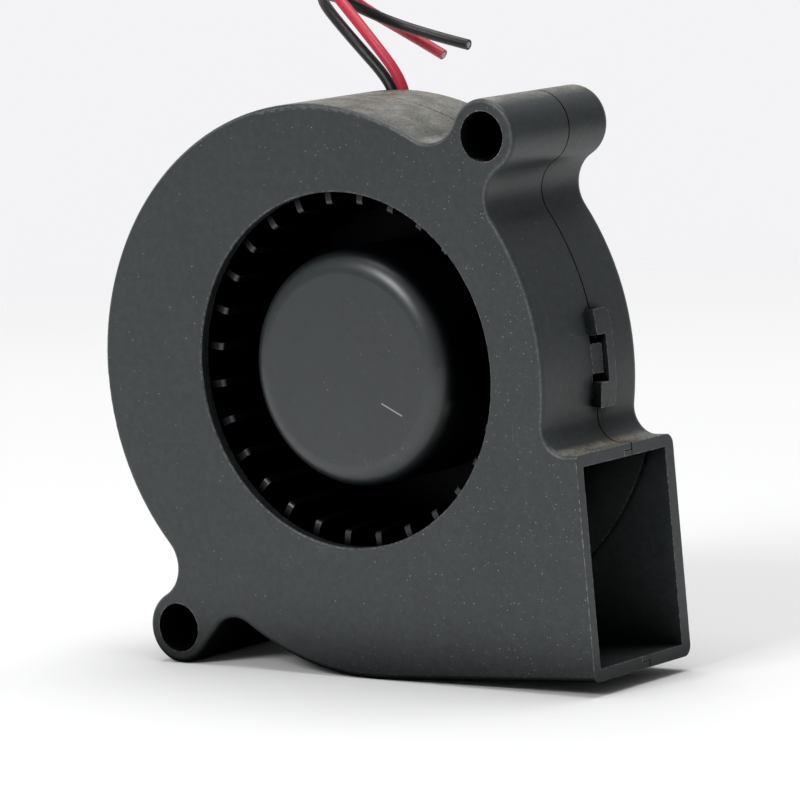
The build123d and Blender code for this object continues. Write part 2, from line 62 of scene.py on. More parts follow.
def linear(red: float, green: float, blue: float) -> Rgba:
    """A display colour in 0 to 255 as the linear colour that Blender's sockets take.

    Args:
        red: Red on the display scale.
        green: Green on the display scale.
        blue: Blue on the display scale.

    Returns:
        Red, green, blue and an alpha of one, by the display curve's own formula: the low end is
        a straight line and the rest a power of 2.4.
    """
    shares = np.array([red, green, blue]) / 255.0
    values = np.where(shares <= 0.04045, shares / 12.92, ((shares + 0.055) / 1.055) ** 2.4)
    return (float(values[0]), float(values[1]), float(values[2]), 1.0)


def dimmed(colour: Rgba, share: float) -> Rgba:
    """The colour with a share of its light and an alpha of one."""
    return (*(channel * share for channel in colour[:3]), 1.0)


class Body(Enum):
    """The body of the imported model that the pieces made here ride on."""

    HOUSING = "housing"


# How the housing stands


@dataclass(frozen=True)
class Lean:
    """How the housing leans on the floor, and where its rotor axis and its inlet face are."""

    tilt: float = math.radians(3.28543)
    axis_x: float = 0.63372 * MM
    axis_z: float = 27.31042 * MM
    front_y: float = -7.5 * MM

    def place(self, across: float, up: float, depth: float) -> np.ndarray:
        """A place on the housing as a point of the frame.

        Args:
            across: Millimetres towards the outlet from the rotor axis.
            up: Millimetres up the outlet's face from the rotor axis.
            depth: Millimetres behind the inlet face.

        Returns:
            The frame's x, y and z in metres. The housing's x and y are turned by the lean about
            the rotor axis.
        """
        cosine, sine = math.cos(self.tilt), math.sin(self.tilt)
        x = self.axis_x + (across * cosine - up * sine) * MM
        z = self.axis_z + (across * sine + up * cosine) * MM
        return np.array([x, self.front_y + depth * MM, z])


LEAN = Lean()


# Shader nodes


class NodeTree:
    """A shader node tree under construction, filled by plain calls."""

    def __init__(self, tree: bpy.types.NodeTree) -> None:
        """Takes the tree that the calls fill."""
        self.tree = tree

    def node(self, kind: str, **settings: object) -> bpy.types.Node:
        """Adds a node.

        Args:
            kind: The node's type.
            **settings: The node's own properties.

        Returns:
            The new node.
        """
        made = self.tree.nodes.new(kind)
        for name, value in settings.items():
            setattr(made, name, value)
        return made

    def link(self, source: Socket, target: Socket) -> None:
        """Joins two sockets."""
        self.tree.links.new(source, target)

    def math(
        self, operation: str, first: Value, second: Value = 0.0, clamp: bool = False
    ) -> Socket:
        """Adds a Math node.

        Args:
            operation: What it works out.
            first: The first value, as a socket or a plain number.
            second: The second value, where the operation takes one.
            clamp: Whether the result is kept from 0 to 1.

        Returns:
            The result's socket.
        """
        made = self.node("ShaderNodeMath", operation=operation, use_clamp=clamp)
        for place, value in enumerate((first, second)):
            if isinstance(value, (int, float)):
                made.inputs[place].default_value = value
            else:
                self.link(value, made.inputs[place])
        return made.outputs[0]

    def product(self, *factors: Value) -> Socket:
        """Multiplies values, from the first to the last.

        Args:
            *factors: Two or more sockets or plain numbers.

        Returns:
            The result's socket.
        """
        result = factors[0]
        for factor in factors[1:]:
            result = self.math("MULTIPLY", result, factor)
        return result

    def inverse(self, value: Socket) -> Socket:
        """One less the value."""
        return self.math("SUBTRACT", 1.0, value)

    def vector(
        self, operation: str, first: Socket, second: Vector | Socket | None = None
    ) -> Socket:
        """Adds a Vector Math node.

        Args:
            operation: What it works out.
            first: The first vector's socket.
            second: A plain vector or a socket, where the operation takes one; for SCALE it is
                the factor's socket.

        Returns:
            The result's socket, which gives a number for a dot product or a length.
        """
        made = self.node("ShaderNodeVectorMath", operation=operation)
        self.link(first, made.inputs[0])
        if isinstance(second, tuple):
            made.inputs[1].default_value = second
        elif second is not None:
            self.link(second, made.inputs["Scale" if operation == "SCALE" else 1])
        return made.outputs["Value" if operation in ("DOT_PRODUCT", "LENGTH") else "Vector"]

    def carry(self, value: Socket, start: Span, end: Span, kind: str = "LINEAR") -> Socket:
        """Adds a Map Range node, which stays within its ends.

        Args:
            value: The value that is read.
            start: The range that it is read in.
            end: The range that it is carried over to.
            kind: The course between the two ends.

        Returns:
            The result's socket.
        """
        made = self.node("ShaderNodeMapRange", interpolation_type=kind)
        self.link(value, made.inputs["Value"])
        for name, number in zip(("From Min", "From Max", "To Min", "To Max"), (*start, *end)):
            made.inputs[name].default_value = number
        return made.outputs["Result"]

    def between(self, value: Socket, low: float, high: float) -> Socket:
        """Carries a value from 0 to 1 over to the range from low to high."""
        return self.carry(value, (0.0, 1.0), (low, high))

    def ramp(self, value: Socket, low: float, high: float) -> Socket:
        """A value's rise from 0 at low to 1 at high, smooth at both ends."""
        return self.carry(value, (low, high), (0.0, 1.0), "SMOOTHSTEP")


# Shared shader groups


class GroupBuilder(NodeTree):
    """Builds one shader node group, with its sockets."""

    def __init__(self, name: str) -> None:
        """Starts an empty group.

        Args:
            name: The group's name.
        """
        super().__init__(bpy.data.node_groups.new(name, "ShaderNodeTree"))
        self.entry = self.node("NodeGroupInput")
        self.exit = self.node("NodeGroupOutput")

    def socket(self, name: str, way: str, kind: str = "Float") -> bpy.types.NodeTreeInterfaceSocket:
        """Adds an INPUT or OUTPUT of the group and returns its description."""
        return self.tree.interface.new_socket(
            name=name, in_out=way, socket_type=f"NodeSocket{kind}"
        )

    def vector_input(self, name: str) -> Socket:
        """Adds a vector input and returns its socket inside the group."""
        self.socket(name, "INPUT", "Vector")
        return self.entry.outputs[name]

    def value_input(self, name: str, value: float) -> Socket:
        """Adds a number input with its usual value and returns its socket inside the group."""
        self.socket(name, "INPUT").default_value = value
        return self.entry.outputs[name]

    def output(self, name: str, source: Socket) -> None:
        """Adds a number output fed by a socket inside the group."""
        self.socket(name, "OUTPUT")
        self.link(source, self.exit.inputs[name])

    def scaled(self, position: Socket, scale: Vector | float) -> Socket:
        """Multiplies a position by one scale for all axes, or by one for each."""
        factors = (scale,) * 3 if isinstance(scale, float) else scale
        return self.vector("MULTIPLY", position, factors)

    def per_size(self, position: Socket, size: Socket) -> Socket:
        """Divides a position by a size, so that a pattern repeats once in that size."""
        return self.vector("SCALE", position, self.math("DIVIDE", 1.0, size))

    def noise(self, position: Socket, detail: float = 2.0, roughness: float = 0.5) -> Socket:
        """Adds a noise of unit size.

        Args:
            position: Where it is read.
            detail: How many finer noises are added.
            roughness: How strong each of them is against the one before.

        Returns:
            The noise's socket, from 0 to 1.
        """
        made = self.node("ShaderNodeTexNoise")
        self.link(position, made.inputs["Vector"])
        for name, value in (("Scale", 1.0), ("Detail", detail), ("Roughness", roughness)):
            made.inputs[name].default_value = value
        return made.outputs["Fac"]

    def split(self, vector: Socket) -> tuple[Socket, Socket, Socket]:
        """A vector's x, y and z."""
        made = self.node("ShaderNodeSeparateXYZ")
        self.link(vector, made.inputs[0])
        return made.outputs[0], made.outputs[1], made.outputs[2]

    def normal(self) -> Socket:
        """The surface's own normal."""
        return self.node("ShaderNodeNewGeometry").outputs["Normal"]

    def forward(self) -> Socket:
        """How much the surface looks to the inlet's side, from -1 to 1."""
        return self.product(self.split(self.normal())[1], -1.0)

    def from_axis(self, position: Socket) -> tuple[Socket, Socket]:
        """How far a position lies across and above the rotor axis, in metres."""
        x, _, z = self.split(position)
        return self.math("SUBTRACT", x, LEAN.axis_x), self.math("SUBTRACT", z, LEAN.axis_z)

    def radius(self, position: Socket) -> Socket:
        """How far a position lies from the rotor axis, in metres, by the root of the squares."""
        across, above = self.from_axis(position)
        squares = self.math("ADD", self.product(across, across), self.product(above, above))
        return self.math("SQRT", squares)


@dataclass(frozen=True)
class MouldGrain:
    """Spark-eroded mould texture: a fine height, and a cloudy change of tone over the face.

    A size is in metres and a scale in repeats for each metre, here and in the groups below.
    """

    size: float = 0.00022
    fine_detail: float = 3.0
    fine_roughness: float = 0.6
    slow_scale: float = 110.0
    slow_share: float = 0.4
    cloud_scale: float = 1500.0
    cloud_detail: float = 5.0
    cloud_roughness: float = 0.8
    cloud_span: Span = (0.3, 0.7)

    def build(self) -> bpy.types.NodeTree:
        """Makes the group.

        Returns:
            The group. Its tone is a share of a slow noise and, for the rest, fine clouds.
        """
        group = GroupBuilder("Mould grain")
        position = group.vector_input("Position")
        size = group.value_input("Size", self.size)
        fine = group.noise(group.per_size(position, size), self.fine_detail, self.fine_roughness)
        slow = group.noise(group.scaled(position, self.slow_scale))
        cloud_place = group.scaled(position, self.cloud_scale)
        cloud = group.noise(cloud_place, self.cloud_detail, self.cloud_roughness)
        clouds = group.product(group.ramp(cloud, *self.cloud_span), 1.0 - self.slow_share)
        group.output("Height", fine)
        group.output("Tone", group.math("ADD", group.product(slow, self.slow_share), clouds))
        return group.tree


@dataclass(frozen=True)
class SettledDust:
    """Dust that has settled on faces that look up, in fine patches.

    It keeps to what lies over a lowest height and outside a radius about the rotor axis, so that
    none settles inside the housing, and gathers where a wall shelters it.
    """

    upward_span: Span = (0.8, 0.99)
    patch_scale: float = 420.0
    patch_detail: float = 5.0
    patch_roughness: float = 0.7
    patch_span: Span = (0.3, 0.75)
    patch_share: float = 0.6
    fine_scale: float = 5200.0
    fine_span: Span = (0.4, 0.75)
    fine_share: float = 0.6
    unsheltered: float = 0.45

    def build(self) -> bpy.types.NodeTree:
        """Makes the group.

        Returns:
            The group. Its mask is the product of how far the face looks up, the patches, the
            shelter, the amount and the two limits of place.
        """
        group = GroupBuilder("Settled dust")
        position = group.vector_input("Position")
        amount = group.value_input("Amount", 0.5)
        lowest = group.value_input("Lowest", 0.0)
        nearest = group.value_input("Nearest", 0.0)
        shelter = group.value_input("Shelter", 0.0)
        upward = group.ramp(group.split(group.normal())[2], *self.upward_span)
        outside = group.math("GREATER_THAN", group.radius(position), nearest)
        high = group.math("GREATER_THAN", group.split(position)[2], lowest)
        patch_place = group.scaled(position, self.patch_scale)
        patches = group.noise(patch_place, self.patch_detail, self.patch_roughness)
        fine = group.noise(group.scaled(position, self.fine_scale))
        patchy = group.math(
            "ADD",
            group.product(group.ramp(patches, *self.patch_span), self.patch_share),
            group.product(group.ramp(fine, *self.fine_span), self.fine_share),
        )
        gathered = group.between(shelter, self.unsheltered, 1.0)
        settled = group.product(upward, patchy, gathered, group.product(outside, high))
        group.output("Mask", group.math("MULTIPLY", settled, amount, clamp=True))
        return group.tree


@dataclass(frozen=True)
class LightSpecks:
    """Tiny light specks in the middles of scattered cells.

    They lie thickest by the outlet and on faces that look to the inlet's side. A reach is a share
    of a cell.
    """

    spacing: float = 0.00034
    thinning_x: Span = (-0.012, 0.026)
    thinnest: float = 0.15
    forward_span: Span = (0.6, 0.95)
    sideways: float = 0.35
    reach: Span = (0.05, 0.15)
    strength: Span = (0.12, 0.72)

    def build(self) -> bpy.types.NodeTree:
        """Makes the group.

        Returns:
            The group. A cell's random red says whether it has a speck, its green how far the
            speck reaches and the square of its blue how strong it is.
        """
        group = GroupBuilder("Light specks")
        position = group.vector_input("Position")
        size = group.value_input("Spacing", self.spacing)
        share = group.value_input("Share", 0.5)
        cells = group.node("ShaderNodeTexVoronoi")
        group.link(group.per_size(position, size), cells.inputs["Vector"])
        cells.inputs["Scale"].default_value = 1.0
        drawn = group.node("ShaderNodeSeparateColor")
        group.link(cells.outputs["Color"], drawn.inputs[0])
        by_outlet = group.ramp(group.split(position)[0], *self.thinning_x)
        by_front = group.ramp(group.forward(), *self.forward_span)
        local = group.product(
            share,
            group.between(by_outlet, self.thinnest, 1.0),
            group.between(by_front, self.sideways, 1.0),
        )
        chosen = group.math("LESS_THAN", drawn.outputs[0], local)
        reach = group.between(drawn.outputs[1], *self.reach)
        near = group.math("LESS_THAN", cells.outputs["Distance"], reach)
        squared = group.product(drawn.outputs[2], drawn.outputs[2])
        strength = group.between(squared, *self.strength)
        group.output("Mask", group.product(chosen, near, strength))
        return group.tree


@dataclass(frozen=True)
class FaintScratches:
    """Short faint scratches: thin lines of two drawn-out noises, kept in a few patches."""

    line_scales: tuple[Vector, ...] = ((210.0, 900.0, 1500.0), (1300.0, 900.0, 240.0))
    line_width: float = 0.004
    patch_scale: float = 170.0
    patch_span: Span = (0.6, 0.72)

    def build(self) -> bpy.types.NodeTree:
        """Makes the group.

        Returns:
            The group. A line is where its noise is within line_width of one half.
        """
        group = GroupBuilder("Faint scratches")
        position = group.vector_input("Position")
        amount = group.value_input("Amount", 0.4)
        lines = []
        for scale in self.line_scales:
            drawn = group.noise(group.scaled(position, scale), detail=1.0)
            off = group.math("ABSOLUTE", group.math("SUBTRACT", drawn, 0.5))
            lines.append(group.math("LESS_THAN", off, self.line_width))
        patches = group.noise(group.scaled(position, self.patch_scale))
        both = group.math("MAXIMUM", *lines)
        group.output("Mask", group.product(both, group.ramp(patches, *self.patch_span), amount))
        return group.tree


@dataclass(frozen=True)
class EdgeWearAndHighlight:
    """Wear along sharp edges, which also serves as a painted highlight there, and a fainter painted
    highlight on the housing's rounds by the inlet face.
    """

    bevel_radius: float = 0.00014
    bevel_samples: int = 4
    bent_span: Span = (0.01, 0.14)
    chip_scale: float = 3100.0
    chip_detail: float = 3.0
    chip_span: Span = (0.38, 0.68)
    round_starts: Span = (0.62, 0.8)
    round_ends: Span = (0.88, 0.97)
    innermost: float = 0.017
    front_reach: float = 0.0015
    round_highlight: float = 0.2
    round_highlight_least: float = 0.35

    def build(self) -> bpy.types.NodeTree:
        """Makes the group.

        Returns:
            The group. An edge is where the normal of a bevelled surface leaves the surface's own
            normal, and a round is where the surface is turning away from the inlet's side.
        """
        group = GroupBuilder("Edge wear and highlight")
        position = group.vector_input("Position")
        amount = group.value_input("Amount", 0.5)
        rounded = group.node("ShaderNodeBevel", samples=self.bevel_samples)
        rounded.inputs["Radius"].default_value = self.bevel_radius
        kept = group.vector("DOT_PRODUCT", rounded.outputs["Normal"], group.normal())
        # Lighter sharp edges: partly real wear, partly a painted edge highlight.
        bent = group.ramp(group.inverse(kept), *self.bent_span)
        chips = group.noise(group.scaled(position, self.chip_scale), self.chip_detail)
        broken = group.ramp(chips, *self.chip_span)
        forward = group.forward()
        # Painted highlight on the rounds by the inlet face, where a lamp's reflection would fall.
        turning = group.product(
            group.ramp(forward, *self.round_starts),
            group.inverse(group.ramp(forward, *self.round_ends)),
        )
        outer = group.math("GREATER_THAN", group.radius(position), self.innermost)
        depth = group.split(position)[1]
        by_front = group.math("LESS_THAN", depth, LEAN.front_y + self.front_reach)
        round_highlight_mask = group.product(turning, outer, by_front, self.round_highlight)
        patchy_round_highlight = group.product(round_highlight_mask, group.between(broken, self.round_highlight_least, 1.0))
        wear_or_highlight = group.math("MAXIMUM", group.product(bent, broken), patchy_round_highlight)
        group.output("Mask", group.product(wear_or_highlight, amount))
        return group.tree


@dataclass(frozen=True)
class PaintedSeamShade:
    """Painted shade: a dark line where the two shells meet, on the outlet's side of the housing.

    It is left out where the latch on that side bridges it.
    """

    depth: float = 8.56 * MM
    half_width: Span = (0.00008, 0.00015)
    starts_at_x: float = 0.0145
    latch_cosine: float = 0.982

    def build(self) -> bpy.types.NodeTree:
        """Makes the group.

        Returns:
            The group. The latch's stretch is where the way out from the rotor axis has a cosine
            over latch_cosine with the housing's own x.
        """
        group = GroupBuilder("Painted seam shade")
        position = group.vector_input("Position")
        x, y, _ = group.split(position)
        off = group.math("ABSOLUTE", group.math("SUBTRACT", y, LEAN.front_y + self.depth))
        # Painted shade along the gap between the shells.
        line = group.inverse(group.ramp(off, *self.half_width))
        by_outlet = group.math("GREATER_THAN", x, self.starts_at_x)
        across, above = group.from_axis(position)
        flat = group.node("ShaderNodeCombineXYZ")
        group.link(across, flat.inputs[0])
        group.link(above, flat.inputs[2])
        outward = group.vector("NORMALIZE", flat.outputs[0])
        own_x = (math.cos(LEAN.tilt), 0.0, math.sin(LEAN.tilt))
        towards_latch = group.vector("DOT_PRODUCT", outward, own_x)
        clear = group.math("LESS_THAN", towards_latch, self.latch_cosine)
        group.output("Mask", group.product(line, by_outlet, clear))
        return group.tree


@dataclass(frozen=True)
class HubScratch:
    """A short straight scratch across the hub's face."""

    middle: Vector = (5.51 * MM, LEAN.front_y, 24.02 * MM)
    way: Vector = (0.906, 0.0, -0.423)
    beside: Vector = (0.423, 0.0, 0.906)
    inward: Vector = (0.0, 1.0, 0.0)
    half_length: float = 0.00119
    half_width: float = 0.00006
    half_depth: float = 0.0006

    def build(self) -> bpy.types.NodeTree:
        """Makes the group.

        Returns:
            The group. The scratch is a thin box round its middle, along its way.
        """
        group = GroupBuilder("Hub scratch")
        position = group.vector_input("Position")
        offset = group.vector("SUBTRACT", position, self.middle)
        inside = []
        for way, half in (
            (self.way, self.half_length),
            (self.beside, self.half_width),
            (self.inward, self.half_depth),
        ):
            off = group.math("ABSOLUTE", group.vector("DOT_PRODUCT", offset, way))
            inside.append(group.math("LESS_THAN", off, half))
        group.output("Mask", group.product(*inside))
        return group.tree


@dataclass(frozen=True)
class HollowShadeAndShelter:
    """How open a spot lies, as the mask for painted shade in hollows, and how much a wall shelters
    it, for dust; both from 0 to 1.
    """

    reach: float = 0.007
    samples: int = 6
    open_span: Span = (0.42, 0.9)
    shelter_starts: Span = (0.35, 0.6)
    shelter_ends: Span = (0.6, 0.95)

    def build(self) -> bpy.types.NodeTree:
        """Makes the group.

        Returns:
            The group. Shelter is high by a wall, and low in the open and deep in a hollow.
        """
        group = GroupBuilder("HollowShadeAndShelter")
        reach = group.value_input("Reach", self.reach)
        sky = group.node("ShaderNodeAmbientOcclusion", samples=self.samples)
        group.link(reach, sky.inputs["Distance"])
        seen = sky.outputs["AO"]
        # The mask is low deep in hollows, and materials darken by it as painted shade.
        group.output("Mask", group.ramp(seen, *self.open_span))
        walled = group.inverse(group.ramp(seen, *self.shelter_ends))
        group.output("Shelter", group.product(walled, group.ramp(seen, *self.shelter_starts)))
        return group.tree


@dataclass(frozen=True)
class Effects:
    """The shared shader groups, built once."""

    grain: bpy.types.NodeTree = field(default_factory=MouldGrain().build)
    dust: bpy.types.NodeTree = field(default_factory=SettledDust().build)
    specks: bpy.types.NodeTree = field(default_factory=LightSpecks().build)
    scratches: bpy.types.NodeTree = field(default_factory=FaintScratches().build)
    edges: bpy.types.NodeTree = field(default_factory=EdgeWearAndHighlight().build)
    hollows: bpy.types.NodeTree = field(default_factory=HollowShadeAndShelter().build)
    seam: bpy.types.NodeTree = field(default_factory=PaintedSeamShade().build)
    nick: bpy.types.NodeTree = field(default_factory=HubScratch().build)


# Finishes


class Material(NodeTree):
    """One material under construction: a Principled shader with helpers to feed it."""

    def __init__(self, name: str) -> None:
        """Starts a material with a shader and nothing else.

        Args:
            name: The material's name.
        """
        self.made = bpy.data.materials.new(name)
        self.made.use_nodes = True
        super().__init__(self.made.node_tree)
        self.tree.nodes.clear()
        self.shader = self.node("ShaderNodeBsdfPrincipled")
        self.link(self.shader.outputs[0], self.node("ShaderNodeOutputMaterial").inputs[0])
        self.coordinates = self.node("ShaderNodeTexCoord")

    @property
    def position(self) -> Socket:
        """The piece's own coordinates in metres."""
        return self.coordinates.outputs["Object"]

    def set(self, **values: object) -> None:
        """Sets plain values on the shader's sockets; underscores stand for spaces."""
        for name, value in values.items():
            self.shader.inputs[name.replace("_", " ")].default_value = value

    def feed(self, name: str, source: Socket) -> None:
        """Feeds one of the shader's sockets."""
        self.link(source, self.shader.inputs[name])

    def effect(self, group: bpy.types.NodeTree, **values: float) -> bpy.types.Node:
        """Places a shared group over the position.

        Args:
            group: The group.
            **values: This material's own values for the group's inputs.

        Returns:
            The group's node.
        """
        made = self.node("ShaderNodeGroup", node_tree=group)
        if "Position" in made.inputs:
            self.link(self.position, made.inputs["Position"])
        for name, value in values.items():
            made.inputs[name].default_value = value
        return made

    def blend(self, mask: Socket, base: Rgba | Socket, over: Rgba) -> Socket:
        """Lays a colour over a base by a mask.

        Args:
            mask: How much of the colour shows, from 0 to 1.
            base: A colour, or the socket that gives it.
            over: The colour laid over.

        Returns:
            The mixed colour's socket.
        """
        mix = self.node("ShaderNodeMix", data_type="RGBA")
        self.link(mask, mix.inputs[0])
        if isinstance(base, tuple):
            mix.inputs[6].default_value = base
        else:
            self.link(base, mix.inputs[6])
        mix.inputs[7].default_value = over
        return mix.outputs[2]

    def bump(self, height: Socket, depth: float) -> None:
        """Feeds the shader's normal with a bump.

        Args:
            height: The height, from 0 to 1.
            depth: How deep that is, in metres.
        """
        made = self.node("ShaderNodeBump")
        made.inputs["Strength"].default_value = 1.0
        made.inputs["Distance"].default_value = depth
        self.link(height, made.inputs["Height"])
        self.feed("Normal", made.outputs["Normal"])


@dataclass(frozen=True)
class MouldedPlastic:
    """Matt plastic with spark-eroded grain, specks, faint scratches, dust, and worn edges that also
    carry a painted highlight.

    Its gloss is a rough coat. In hollows the colour and the coat both fade, as painted shade.
    """

    name: str
    colour: Vector = (59, 64, 65)
    tone_spread: float = 0.5
    roughness: float = 0.45
    roughness_swing: float = 0.06
    coat_ior: float = 1.5
    hollow_shade: float = 0.03
    hollow_reach: float = 0.009
    grain_size: float = 0.00024
    grain_depth: float = 0.00002
    wear_and_highlight: float = 1.0
    wear_and_highlight_colour: Vector = (165, 167, 165)
    scratch_amount: float = 0.25
    scratch_colour: Vector = (120, 122, 124)
    speck_share: float = 0.9
    speck_colour: Vector = (175, 178, 176)
    dust: float = 1.0
    dust_lowest: float = 0.015
    dust_nearest: float = 0.0175
    dust_colour: Vector = (210, 204, 182)
    seam: bool = False
    seam_shade_colour: Vector = (14, 15, 15)
    nick: bool = False
    nick_colour: Vector = (150, 152, 152)

    def build(self, effects: Effects) -> bpy.types.Material:
        """Makes the material.

        Args:
            effects: The shared shader groups.

        Returns:
            The finished material.
        """
        material = Material(self.name)
        grain = material.effect(effects.grain, Size=self.grain_size)
        hollows = material.effect(effects.hollows, Reach=self.hollow_reach)
        dust = material.effect(
            effects.dust, Amount=self.dust, Lowest=self.dust_lowest, Nearest=self.dust_nearest
        )
        material.link(hollows.outputs["Shelter"], dust.inputs["Shelter"])
        layers = [
            # The edge layer lightens edges and front rounds: partly wear, partly painted highlight.
            (material.effect(effects.edges, Amount=self.wear_and_highlight), self.wear_and_highlight_colour),
            (material.effect(effects.scratches, Amount=self.scratch_amount), self.scratch_colour),
            (material.effect(effects.specks, Share=self.speck_share), self.speck_colour),
            (dust, self.dust_colour),
        ]
        # Painted shade along the seam between the shells.
        if self.seam:
            layers.append((material.effect(effects.seam), self.seam_shade_colour))
        if self.nick:
            layers.append((material.effect(effects.nick), self.nick_colour))
        base = linear(*self.colour)
        tone = material.blend(grain.outputs["Tone"], base, dimmed(base, 1.0 - self.tone_spread))
        for layer, colour in layers:
            tone = material.blend(layer.outputs["Mask"], tone, linear(*colour))
        # Painted shade: the colour and the coat's gloss fade to hollow_shade deep in hollows.
        kept = material.between(hollows.outputs["Mask"], self.hollow_shade, 1.0)
        low, high = self.roughness - self.roughness_swing, self.roughness + self.roughness_swing
        material.feed("Base Color", material.vector("SCALE", tone, kept))
        material.feed("Coat Weight", kept)
        material.feed("Roughness", material.between(grain.outputs["Tone"], low, high))
        material.set(Specular_IOR_Level=0.0, Coat_Roughness=self.roughness, Coat_IOR=self.coat_ior)
        material.bump(grain.outputs["Height"], self.grain_depth)
        return material.made


@dataclass(frozen=True)
class WireInsulation:
    """Soft extruded insulation on a lead: even colour and a slight, uneven gloss."""

    name: str
    colour: Vector
    darkest: float = 0.82
    roughness: Span = (0.35, 0.51)
    grain_size: float = 0.0006
    grain_depth: float = 0.000008

    def build(self, effects: Effects) -> bpy.types.Material:
        """Makes the material.

        Args:
            effects: The shared shader groups.

        Returns:
            The finished material.
        """
        material = Material(self.name)
        grain = material.effect(effects.grain, Size=self.grain_size)
        base = linear(*self.colour)
        tone = grain.outputs["Tone"]
        material.feed("Base Color", material.blend(tone, base, dimmed(base, self.darkest)))
        material.feed("Roughness", material.between(tone, *self.roughness))
        material.bump(grain.outputs["Height"], self.grain_depth)
        return material.made


@dataclass(frozen=True)
class PlainMetal:
    """Bare metal with a fine grain and faint bright scratches."""

    name: str
    colour: Vector
    roughness: float = 0.32
    smoother: float = 0.1
    rougher: float = 0.14
    darkest: float = 0.75
    grain_size: float = 0.00018
    grain_depth: float = 0.000003
    scratch_amount: float = 0.3
    scratch_colour: Vector = (225, 225, 222)

    def build(self, effects: Effects) -> bpy.types.Material:
        """Makes the material.

        Args:
            effects: The shared shader groups.

        Returns:
            The finished material.
        """
        material = Material(self.name)
        material.set(Metallic=1.0)
        grain = material.effect(effects.grain, Size=self.grain_size)
        scratches = material.effect(effects.scratches, Amount=self.scratch_amount)
        base = linear(*self.colour)
        tone = material.blend(grain.outputs["Tone"], base, dimmed(base, self.darkest))
        bright = linear(*self.scratch_colour)
        low, high = self.roughness - self.smoother, self.roughness + self.rougher
        material.feed("Base Color", material.blend(scratches.outputs["Mask"], tone, bright))
        material.feed("Roughness", material.between(grain.outputs["Height"], low, high))
        material.bump(grain.outputs["Height"], self.grain_depth)
        return material.made


FINISHES = {
    "shell": MouldedPlastic("black shell plastic", seam=True),
    "rotor": MouldedPlastic(
        "black rotor plastic",
        colour=(38, 45, 46),
        roughness=0.36,
        coat_ior=1.7,
        hollow_shade=0.06,
        hollow_reach=0.02,
        wear_and_highlight=0.3,
        speck_share=0.15,
        dust=0.0,
        nick=True,
    ),
    "steel": PlainMetal("drawn steel", (176, 176, 172)),
    "brass": PlainMetal("brass", (190, 160, 96)),
    "ferrite": MouldedPlastic("ferrite", colour=(60, 60, 62), dust=0.0),
    "bronze": PlainMetal("oiled bronze", (150, 112, 74), 0.45),
    "felt": MouldedPlastic("felt", colour=(196, 188, 170), dust=0.0),
    "laminate": PlainMetal("lamination steel", (120, 122, 126), 0.5),
    "nylon": MouldedPlastic("white nylon", colour=(226, 222, 210), dust=0.1),
    "copper": PlainMetal("enamelled copper", (184, 98, 50), 0.3),
    "board": MouldedPlastic("green board", colour=(28, 92, 58), dust=0.0),
    "chip": MouldedPlastic("black chip", colour=(40, 40, 42), dust=0.0),
    "ceramic": MouldedPlastic("tan ceramic", colour=(160, 130, 96), dust=0.0),
    "tin": PlainMetal("solder", (188, 190, 192), 0.28),
    "black": WireInsulation("black insulation", (24, 24, 26)),
    "red": WireInsulation("red insulation", (212, 44, 70)),
}

DRESS = {
    "front_cover": "shell",
    "rear_housing": "shell",
    "impeller": "rotor",
    "rotor_yoke": "steel",
    "rotor_magnet": "ferrite",
    "shaft_boss": "brass",
    "shaft": "steel",
    "shaft_retainer": "nylon",
    "bearing_tube": "brass",
    "sleeve_bearing": "bronze",
    "oil_seal": "felt",
    "thrust_pad": "nylon",
    "stator_core": "laminate",
    "insulator_front": "nylon",
    "insulator_rear": "nylon",
    "stator_coils": "copper",
    "driver_board": "board",
    "winding_pins": "tin",
    "driver_chip": "chip",
    "hall_sensor": "chip",
    "capacitors": "ceramic",
    "resistors": "chip",
    "solder_joints": "tin",
    "black_lead_end": "black",
    "red_lead_end": "red",
}


# Geometry helpers


def ring_mesh(name: str, rings: np.ndarray, smooth: bool = True) -> bpy.types.Object:
    """Makes a mesh object of one or more tubes, each a row of closed rings of points.

    Args:
        name: The object's name.
        rings: Tubes by rings by points round a ring by three, in metres.
        smooth: Whether the faces are shaded smooth.

    Returns:
        The new object. Each face joins a point with its neighbours one ring on and one point on.
    """
    tubes, rows, around = rings.shape[:3]
    tube, row, point = np.meshgrid(
        np.arange(tubes), np.arange(rows - 1), np.arange(around), indexing="ij"
    )
    start = (tube * rows + row) * around
    following = (point + 1) % around
    corners = np.stack(
        [start + point, start + following, start + around + following, start + around + point],
        axis=-1,
    ).reshape(-1, 4)
    mesh = bpy.data.meshes.new(name)
    mesh.from_pydata(rings.reshape(-1, 3).tolist(), [], corners.tolist())
    mesh.polygons.foreach_set("use_smooth", np.full(len(mesh.polygons), smooth))
    mesh.update()
    made = bpy.data.objects.new(name, mesh)
    bpy.context.scene.collection.objects.link(made)
    return made


# The object's sub-assemblies


